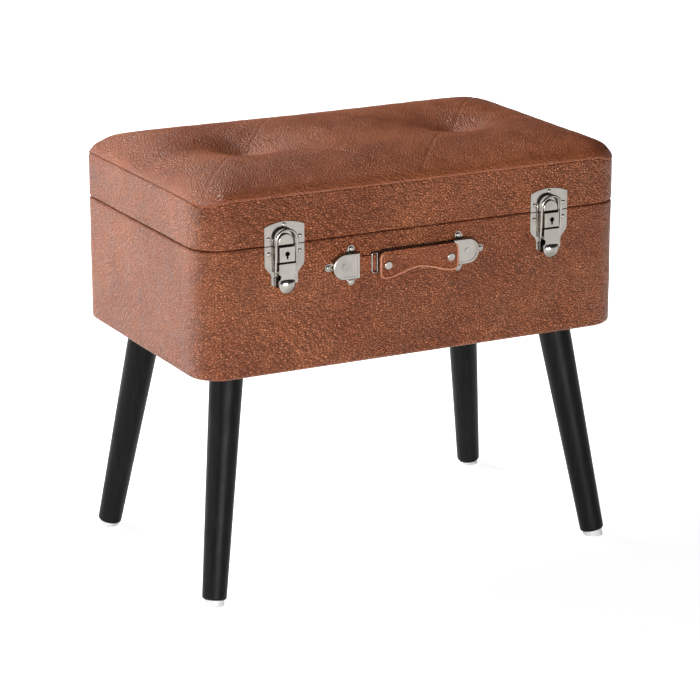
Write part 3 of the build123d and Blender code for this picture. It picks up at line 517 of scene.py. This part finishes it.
border_outer = [(WALL, lid_bottom), (WALL / 2, lid_bottom)]
border_outer += arc((SEAM_ROLL, lid_bottom + SEAM_ROLL), SEAM_ROLL, 270, 180, 5)
border_outer += rows(0, lid_bottom + SEAM_ROLL, BORDER_TOP[0][1], WALL_STEP)
border_outer += BORDER_TOP
border_inner = BORDER_BACK + [
    (LEATHER, lid_bottom + SEAM_ROLL),
    (SEAM_ROLL, lid_bottom + LEATHER),
    (WALL, lid_bottom + LEATHER),
]
border_solids = ["lid_border_cover", "lid_wadding"]
cover("lid_border_leather", border_outer + border_inner, len(border_outer), "lid", border_solids)


# Cushion
def crown(inset):
    # Height over the top seam, a smooth line through the levels, steep at the edge
    steps = [(math.sqrt(d), h) for d, h in CROWN_LEVELS]
    t = math.sqrt(max(inset, 0))
    if t >= steps[-1][0]:
        return steps[-1][1]
    i = max(k for k in range(len(steps) - 1) if steps[k][0] <= t)
    (t0, h0), (t1, h1) = steps[i], steps[i + 1]
    slopes = []
    for k in (i, i + 1):
        before = steps[max(k - 1, 0)]
        after = steps[min(k + 1, len(steps) - 1)]
        slopes.append((after[1] - before[1]) / (after[0] - before[0]))
    if i == len(steps) - 2:
        slopes[1] = 0
    u = (t - t0) / (t1 - t0)
    run = t1 - t0
    return (
        h0 * (1 + 2 * u) * (1 - u) ** 2
        + slopes[0] * run * u * (1 - u) ** 2
        + h1 * u * u * (3 - 2 * u)
        - slopes[1] * run * u * u * (1 - u)
    )


def edge_distance(x, y):
    # From the edge of the box inwards, exact near the edge and without a ridge further in
    x_in = WIDTH / 2 - abs(x)
    y_in = DEPTH / 2 - abs(y)
    corner_x = max(CORNER_RADIUS - x_in, 0)
    corner_y = max(CORNER_RADIUS - y_in, 0)
    exact = CORNER_RADIUS - math.hypot(corner_x, corner_y)
    if corner_x == 0 and corner_y == 0:
        exact = min(x_in, y_in)
    near = [max(0, 1 - d / CROWN_REACH) ** CORNER_POWER for d in (x_in, y_in)]
    soft = CROWN_REACH * (1 - sum(near) ** (1 / CORNER_POWER))
    share = min(max(exact / EDGE_BLEND, 0), 1)
    share = share * share * (3 - 2 * share)
    return exact + (soft - exact) * share


tuft_bend = ((TUFT_RADIUS - TUFT_FLOOR) ** 2 + TUFT_DEPTH**2) / (2 * TUFT_DEPTH)


def tuft_dent(x, y):
    # Depth of the tuft, a part of a circle from its rim to its middle, rounded at the very middle
    radius = math.hypot(abs(x) - TUFT_X, y)
    if radius >= TUFT_RADIUS:
        return 0
    radius = max(radius, math.sqrt(radius * radius + TUFT_ROUNDING**2) - TUFT_PINCH)
    return max(0, tuft_bend - math.sqrt(tuft_bend**2 - max(0, TUFT_RADIUS - radius) ** 2))


def seam_lines():
    # From each tuft to the corners of its half of the cushion
    lines = []
    for side in (-1, 1):
        for end_x in (0, side * WIDTH / 2):
            for end_y in (-DEPTH / 2, DEPTH / 2):
                lines.append((Vector((side * TUFT_X, 0)), Vector((end_x, end_y))))
    return lines


SEAM_LINES = seam_lines()


def seam_distance(x, y):
    point = Vector((x, y))
    nearest = WIDTH
    for start, end in SEAM_LINES:
        run = end - start
        share = min(max((point - start).dot(run) / run.length_squared, 0), 1)
        nearest = min(nearest, (point - start - run * share).length)
    return nearest


def seam_groove(x, y):
    away = seam_distance(x, y)
    return GROOVE_DEPTH * math.exp(-((away / GROOVE_WIDTH) ** 2))


def square_to_round(x, y):
    # Draws a point of the box's rectangle in, so that the rectangle's corners become rounded
    corner_x = abs(x) - (WIDTH / 2 - CORNER_RADIUS)
    corner_y = abs(y) - (DEPTH / 2 - CORNER_RADIUS)
    if corner_x <= 0 or corner_y <= 0:
        return x, y
    reach = max(corner_x, corner_y)
    share = min(corner_x, corner_y) / reach * math.pi / 4
    angle = share if corner_x >= corner_y else math.pi / 2 - share
    new_x = WIDTH / 2 - CORNER_RADIUS + reach * math.cos(angle)
    new_y = DEPTH / 2 - CORNER_RADIUS + reach * math.sin(angle)
    return math.copysign(new_x, x), math.copysign(new_y, y)


def cushion_height(x, y):
    return TOP_SEAM + CUSHION_LIFT + crown(edge_distance(x, y)) - tuft_dent(x, y) - corner_dip(x, y)


def cushion_sheet():
    across = round(WIDTH / CUSHION_STEP)
    deep = round(DEPTH / CUSHION_STEP)
    points = []
    for j in range(deep + 1):
        for i in range(across + 1):
            x, y = square_to_round(WIDTH * (i / across - 0.5), DEPTH * (j / deep - 0.5))
            points.append((x, y, cushion_height(x, y)))
    faces = []
    for j in range(deep):
        for i in range(across):
            low = j * (across + 1) + i
            faces.append((low, low + 1, low + across + 2, low + across + 1))
    return points, faces


def swell(piece):
    # Air under the leather, held at the seam round the edge and at the tufts
    mesh = piece.data
    rest = [vertex.co.copy() for vertex in mesh.vertices]
    held = piece.vertex_groups.new(name="held")
    for i, point in enumerate(rest):
        x, y = point.x / MM, point.y / MM
        tuft = math.hypot(abs(x) - TUFT_X, y)
        near = min(edge_distance(x, y) / HOLD_EDGE, tuft / HOLD_TUFT, 1)
        held.add([i], max(0, 1 - near) ** 0.5, "REPLACE")
    cloth = piece.modifiers.new("cloth", "CLOTH")
    cloth.settings.vertex_group_mass = "held"
    cloth.settings.use_pressure = True
    cloth.settings.uniform_pressure_force = PRESSURE
    cloth.settings.effector_weights.gravity = 0
    scene = bpy.context.scene
    for step in range(1, SWELL_FRAMES + 1):
        scene.frame_set(step)
    swollen = piece.evaluated_get(bpy.context.evaluated_depsgraph_get()).to_mesh()
    moved = [vertex.co.copy() for vertex in swollen.vertices]
    piece.evaluated_get(bpy.context.evaluated_depsgraph_get()).to_mesh_clear()
    piece.modifiers.remove(cloth)
    piece.vertex_groups.clear()
    scene.frame_set(1)
    limit = SWELL_LIMIT * MM
    for vertex, before, after in zip(mesh.vertices, rest, moved):
        step = after - before
        if step.length > limit:
            step *= limit / step.length
        vertex.co = before + step


def sew(piece):
    # Finer mesh, the seams pressed into it, and the edge closed under the cushion
    smooth = piece.modifiers.new("smooth", "SUBSURF")
    smooth.levels = 2
    smooth.render_levels = 2
    fine = bpy.data.meshes.new_from_object(piece.evaluated_get(bpy.context.evaluated_depsgraph_get()))
    piece.modifiers.remove(smooth)
    piece.data = fine
    for vertex in fine.vertices:
        x, y = vertex.co.x / MM, vertex.co.y / MM
        edge = min(1, max(0, edge_distance(x, y) / SEAM_FADE))
        wrinkle = noise.noise(Vector((x / WRINKLE_LENGTH, y / WRINKLE_LENGTH, WRINKLE_LAYER)))
        fold = WRINKLE_HEIGHT * wrinkle * edge
        vertex.co.z += (fold - seam_groove(x, y) * edge) * MM
    work = bmesh.new()
    work.from_mesh(fine)
    rim = [edge for edge in work.edges if edge.is_boundary]
    for inset, z in RIM_LEVELS:
        made = bmesh.ops.extrude_edge_only(work, edges=rim)["geom"]
        rim = [item for item in made if isinstance(item, bmesh.types.BMEdge) and item.is_boundary]
        for vertex in {vertex for edge in rim for vertex in edge.verts}:
            corner_x = max(abs(vertex.co.x) / MM - (WIDTH / 2 - CORNER_RADIUS), 0)
            corner_y = max(abs(vertex.co.y) / MM - (DEPTH / 2 - CORNER_RADIUS), 0)
            out = math.hypot(corner_x, corner_y)
            scale = (CORNER_RADIUS - inset) / out
            new_x = min(abs(vertex.co.x) / MM, WIDTH / 2 - CORNER_RADIUS) + corner_x * scale
            new_y = min(abs(vertex.co.y) / MM, DEPTH / 2 - CORNER_RADIUS) + corner_y * scale
            place = (math.copysign(new_x, vertex.co.x), math.copysign(new_y, vertex.co.y))
            vertex.co = Vector((*place, z - corner_dip(*place))) * MM
    bmesh.ops.holes_fill(work, edges=rim, sides=0)
    bmesh.ops.recalc_face_normals(work, faces=work.faces)
    work.to_mesh(fine)
    work.free()
    fine.materials.clear()
    fine.materials.append(top_leather)
    fine.shade_smooth()


sheet_points, sheet_faces = cushion_sheet()
cushion = add_piece("lid_cushion", sheet_points, sheet_faces, top_leather, "lid")
swell(cushion)
sew(cushion)
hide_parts("lid_top_panels", "lid_foam_pad")


# Thread of the seam between the border and the cushion
def stitch_row():
    path = [Vector((x, y, TOP_SEAM - STITCH_DROP - corner_dip(x, y))) for x, y in round_box(STITCH_INSET)]
    points = []
    faces = []
    travelled = 0
    total = sum((path[(i + 1) % len(path)] - path[i]).length for i in range(len(path)))
    count = round(total / STITCH_PITCH)
    pitch = total / count
    spots = []
    for i in range(len(path)):
        step = path[(i + 1) % len(path)] - path[i]
        while len(spots) < count and len(spots) * pitch < travelled + step.length:
            share = (len(spots) * pitch - travelled) / step.length
            spots.append((path[i] + step * share, step.normalized()))
        travelled += step.length
    for middle, along in spots:
        across = along.cross(Vector((0, 0, 1)))
        for reach, radius in STITCH_SHAPE:
            for k in range(STITCH_SIDES):
                angle = k * 2 * math.pi / STITCH_SIDES
                side = across * math.cos(angle) + Vector((0, 0, 1)) * math.sin(angle)
                points.append(middle + along * (reach * STITCH_LENGTH) + side * (radius * STITCH_RADIUS))
        first = len(points) - STITCH_SIDES * len(STITCH_SHAPE)
        last = len(points) - STITCH_SIDES
        for ring in range(first, last, STITCH_SIDES):
            for k in range(STITCH_SIDES):
                a = ring + k
                b = ring + (k + 1) % STITCH_SIDES
                faces.append((a, b, b + STITCH_SIDES, a + STITCH_SIDES))
        faces.append(tuple(range(first, first + STITCH_SIDES)))
        faces.append(tuple(range(last, last + STITCH_SIDES)))
    return points, faces


stitch_points, stitch_faces = stitch_row()
add_piece("lid_stitches", stitch_points, stitch_faces, thread, "lid")


# Lining of the base and of the lid: cloth glued to the boards, a little slack
def lining(name, profile, body, node):
    points = []
    for inset, z in profile:
        for x, y in round_box(inset):
            spot = Vector((x / SLACK_LENGTH, y / SLACK_LENGTH, z / SLACK_LENGTH))
            slack = LINING_SLACK * noise.noise(spot)
            reach = math.hypot(x, y)
            back = LINING_BACK + slack
            points.append((x - x / reach * back, y - y / reach * back, z))
    size = len(round_box(0))
    faces = ring_faces(len(profile), size, False)
    faces.append(tuple(range(size)))
    faces.append(tuple(range((len(profile) - 1) * size, len(profile) * size)))
    piece = add_piece(name, points, faces, slots["cloth"], body)
    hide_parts(node)


def lining_profile(node, floor_first):
    low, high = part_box(node)
    low_z, high_z = low.z / MM, high.z / MM
    floor = low_z if floor_first else high_z
    rim = high_z if floor_first else low_z
    inner = floor + LINING if floor_first else floor - LINING
    back = WALL + LINING_GAP
    face = WALL + LINING
    outside = [(LINING_CENTRE, floor), (LINING_MIDWAY, floor), (back, floor)]
    outside += [(back, floor + (rim - floor) * i / LINING_STEPS) for i in range(1, LINING_STEPS + 1)]
    inside = [(face, rim + (inner - rim) * i / LINING_STEPS) for i in range(LINING_STEPS)]
    return outside + inside + [(face, inner), (LINING_MIDWAY, inner), (LINING_CENTRE, inner)]


lining("base_lining_cloth", lining_profile("base_lining", True), "base", "base_lining")
lining("lid_lining_cloth", lining_profile("lid_lining", False), "lid", "lid_lining")


# Handle: strap with a piped edge, its folds round the hoops, and the tabs
def strap_outline():
    # Round the strap from its upper right corner: right end, wavy lower edge, left end, straight upper edge
    end = STRAP_HALF_LENGTH
    wave = []
    for i in range(2 * STRAP_STEPS + 1):
        u = (end - STRAP_CORNER) * (1 - i / STRAP_STEPS)
        share = (1 - math.cos(math.pi * min(1, abs(u) / (end - STRAP_CORNER)))) / 2
        wave.append((u, -STRAP_MIDDLE_DROP - (STRAP_END_DROP - STRAP_MIDDLE_DROP) * share))
    r = STRAP_CORNER
    straight = STRAP_TOP + STRAP_END_DROP - 2 * r
    points = arc((end - r, STRAP_TOP - r), r, 90, 0, ARC_STEPS)
    points += [(end, STRAP_TOP - r - straight * i / END_STEPS) for i in range(1, END_STEPS)]
    points += arc((end - r, r - STRAP_END_DROP), r, 0, -90, ARC_STEPS)
    points += wave[1:-1]
    points += arc((r - end, r - STRAP_END_DROP), r, -90, -180, ARC_STEPS)
    points += [(-end, r - STRAP_END_DROP + straight * i / END_STEPS) for i in range(1, END_STEPS)]
    points += arc((r - end, STRAP_TOP - r), r, 180, 90, ARC_STEPS)
    points += [((end - r) * (i / STRAP_STEPS - 1), STRAP_TOP) for i in range(1, 2 * STRAP_STEPS)]
    return points


def drawn_in(outline, inset):
    moved = []
    for i, (u, v) in enumerate(outline):
        before = outline[i - 1]
        after = outline[(i + 1) % len(outline)]
        run = Vector((after[0] - before[0], after[1] - before[1])).normalized()
        moved.append((u + run.y * inset, v - run.x * inset))
    return moved


def on_front(u, v, w):
    return (HANDLE_X + u, -DEPTH / 2 - w, HANDLE_Z + v)


def strap():
    # The outline carried through a section from back to front: inset and distance from the wall
    outline = strap_outline()
    section = [
        (2.5, STRAP_BACK),
        (0.8, STRAP_BACK),
        (0.0, STRAP_BACK + 0.9),
        (0.0, STRAP_FRONT - 1.3),
        (0.4, STRAP_FRONT - 0.9),
        (1.9, STRAP_FRONT - 1.2),
        (2.5, STRAP_FRONT - 1.0),
        (3.6, STRAP_FRONT - 0.6),
        (5.2, STRAP_FRONT - 0.45),
    ]
    points = []
    for inset, w in section:
        for u, v in drawn_in(outline, inset):
            points.append(on_front(u + STRAP_SHIFT, v, w))
    size = len(outline)
    faces = ring_faces(len(section), size, False)
    faces.append(tuple(range(size)))
    faces.append(tuple(range((len(section) - 1) * size, len(section) * size)))
    return points, faces


def piping():
    # A cord of leather sewn along the strap's ends and lower edge
    outline = [(u, v) for u, v in drawn_in(strap_outline(), PIPING_RADIUS) if v < STRAP_TOP - PIPING_STOP]
    points = []
    for i, (u, v) in enumerate(outline):
        before = outline[max(i - 1, 0)]
        after = outline[min(i + 1, len(outline) - 1)]
        run = Vector((after[0] - before[0], after[1] - before[1])).normalized()
        for k in range(PIPING_SIDES):
            angle = k * 2 * math.pi / PIPING_SIDES
            side = PIPING_RADIUS * math.cos(angle)
            rise = PIPING_RADIUS * math.sin(angle)
            w = STRAP_FRONT - PIPING_SINK + rise
            points.append(on_front(u + STRAP_SHIFT - run.y * side, v + run.x * side, w))
    faces = ring_faces(len(outline), PIPING_SIDES, False)
    faces.append(tuple(range(PIPING_SIDES)))
    faces.append(tuple(range(len(points) - PIPING_SIDES, len(points))))
    return points, faces


def soft_block(points, faces, low, high, round_by):
    # A block of leather with rounded edges, added to a list of points and faces
    middle = [(a + b) / 2 for a, b in zip(low, high)]
    half = [(b - a) / 2 for a, b in zip(low, high)]
    lattice = {}
    for index in itertools.product(range(BLOCK_STEPS + 1), repeat=3):
        if not {0, BLOCK_STEPS} & set(index):
            continue
        spread = [(2 * step / BLOCK_STEPS - 1) * h for step, h in zip(index, half)]
        inner = [max(round_by - h, min(h - round_by, s)) for s, h in zip(spread, half)]
        out = Vector([s - c for s, c in zip(spread, inner)])
        reach = max(abs(value) for value in out)
        if out.length > 0:
            out *= reach / out.length
        lattice[index] = len(points)
        points.append(on_front(*[m + c + o for m, c, o in zip(middle, inner, out)]))
    steps = range(BLOCK_STEPS)
    for axis, side, a, b in itertools.product(range(3), (0, BLOCK_STEPS), steps, steps):
        corners = []
        for step_a, step_b in ((0, 0), (1, 0), (1, 1), (0, 1)):
            index = [a + step_a, b + step_b]
            index.insert(axis, side)
            corners.append(lattice[tuple(index)])
        faces.append(tuple(corners))


strap_points, strap_faces = strap()
for side in (-1, 1):
    u = STRAP_SHIFT + side * FOLD_CENTRE
    low = (u - FOLD_WIDTH / 2, -TAB_HALF_HEIGHT, TAB_LOW)
    high = (u + FOLD_WIDTH / 2, TAB_HALF_HEIGHT, STRAP_BACK)
    soft_block(strap_points, strap_faces, low, high, FOLD_ROUNDING)
strap_piece = add_piece(
    "handle_strap_leather", strap_points, strap_faces, strap_leather, "handle"
)
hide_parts("handle_strap")

piping_points, piping_faces = piping()
add_piece("handle_strap_piping", piping_points, piping_faces, piping_leather, "handle")

tab_points = []
tab_faces = []
for side in (-1, 1):
    for start, end, top, round_by in TAB_RUNS:
        ends = sorted((STRAP_SHIFT + side * start, STRAP_SHIFT + side * end))
        low = (ends[0], -TAB_HALF_HEIGHT, TAB_LOW)
        high = (ends[1], TAB_HALF_HEIGHT, top)
        soft_block(tab_points, tab_faces, low, high, round_by)
tabs = add_piece("handle_tab_leather", tab_points, tab_faces, strap_leather, "handle")
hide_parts("handle_tabs")

# Every solid that still shows takes the material of its slot
node_slots = {part["node"]: part["material_slot"] for part in frame["record"]["subparts"]}
for node, shown in frame["nodes"].items():
    shown.data.materials.clear()
    shown.data.materials.append(slots[node_slots[node]])

# Floor, lights and camera
floor_mesh = bpy.data.meshes.new("floor")
floor_corners = [(x * FLOOR_REACH, y * FLOOR_REACH, 0) for x, y in ((-1, -1), (1, -1), (1, 1), (-1, 1))]
floor_mesh.from_pydata(floor_corners, [], [(0, 1, 2, 3)])
floor_paint = plain_material("floor", (0.86, 0.86, 0.86, 1), (0.88, 0.88, 0.88, 1), 0.8, 0.9, 3)
floor_tree = floor_paint.node_tree
floor_shader = floor_tree.nodes["Principled BSDF"]
floor_shader.inputs["Emission Color"].default_value = (1, 1, 1, 1)
# The floor glows only to the camera and in reflections, so its glow lights no matt surface of the object
rays = floor_tree.nodes.new("ShaderNodeLightPath")
seen = math_node(floor_tree, "MAXIMUM", rays.outputs["Is Camera Ray"], rays.outputs["Is Glossy Ray"])
seen = math_node(floor_tree, "MAXIMUM", seen, rays.outputs["Is Transmission Ray"])
spot = floor_tree.nodes.new("ShaderNodeNewGeometry")
away = floor_tree.nodes.new("ShaderNodeVectorMath")
away.operation = "LENGTH"
floor_tree.links.new(spot.outputs["Position"], away.inputs[0])
glow = floor_tree.nodes.new("ShaderNodeMapRange")
floor_tree.links.new(away.outputs["Value"], glow.inputs["Value"])
glow.inputs["From Min"].default_value = GLOW_START
glow.inputs["From Max"].default_value = GLOW_END
glow.inputs["To Min"].default_value = GLOW_LOW
glow.inputs["To Max"].default_value = GLOW_HIGH
shine = math_node(floor_tree, "MULTIPLY", seen, glow.outputs["Result"])
floor_tree.links.new(shine, floor_shader.inputs["Emission Strength"])
floor_mesh.materials.append(floor_paint)
floor = bpy.data.objects.new("floor", floor_mesh)
bpy.context.scene.collection.objects.link(floor)


def area_light(name, place, target, width, height, power):
    data = bpy.data.lights.new(name, "AREA")
    data.shape = "RECTANGLE"
    data.size = width
    data.size_y = height
    data.energy = power
    lamp = bpy.data.objects.new(name, data)
    lamp.location = place
    lamp.rotation_euler = (Vector(target) - Vector(place)).to_track_quat("-Z", "Y").to_euler()
    lamp.visible_camera = False
    bpy.context.scene.collection.objects.link(lamp)


for lamp_values in LAMPS:
    area_light(*lamp_values)
world = bpy.data.worlds.new("studio")
world.use_nodes = True
world.node_tree.nodes["Background"].inputs["Color"].default_value = WORLD_COLOUR
world.node_tree.nodes["Background"].inputs["Strength"].default_value = WORLD_STRENGTH
scene = bpy.context.scene
scene.world = world
scene.view_settings.view_transform = "Standard"

camera_data = bpy.data.cameras.new("camera")
camera_data.sensor_width = SENSOR
camera_data.lens = CAMERA_LENS
camera = bpy.data.objects.new("camera", camera_data)
azimuth = math.radians(CAMERA_AZIMUTH)
elevation = math.radians(CAMERA_ELEVATION)
back = Vector((
    math.sin(azimuth) * math.cos(elevation),
    -math.cos(azimuth) * math.cos(elevation),
    math.sin(elevation),
))
camera.location = CAMERA_PLACE
camera.rotation_euler = (-back).to_track_quat("-Z", "Y").to_euler()
scene.collection.objects.link(camera)
scene.camera = camera

bpy.context.view_layer.update()
